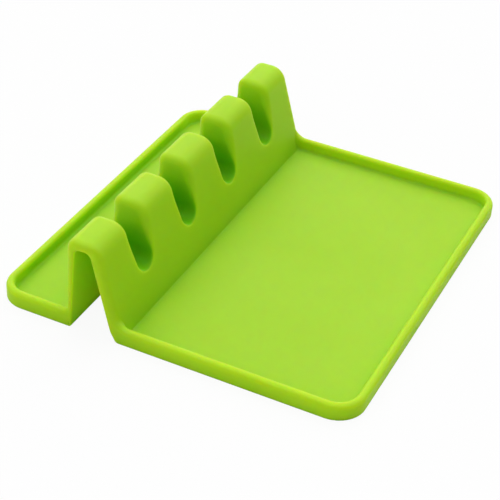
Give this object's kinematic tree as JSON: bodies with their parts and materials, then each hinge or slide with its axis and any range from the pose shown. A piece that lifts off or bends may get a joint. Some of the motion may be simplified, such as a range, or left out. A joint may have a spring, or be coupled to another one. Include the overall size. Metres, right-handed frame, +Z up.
{
  "type": "spoon rest",
  "caption": "Moulded silicone spoon rest: a hollow slotted ridge for handles between a narrow ledge tray and a wide rimmed drip tray.",
  "frame": {"origin": "centre of the bounding box in plan, on the underside that rests on the table", "axes": "+X from the ledge tray to the drip tray, +Y along the ridge, +Z up"},
  "size_m": [0.186, 0.2, 0.0492],
  "materials": {
    "silicone": "satin lime green silicone"
  },
  "bodies": {
    "root": {"moulded_rest": "silicone"}
  },
  "joints": []
}
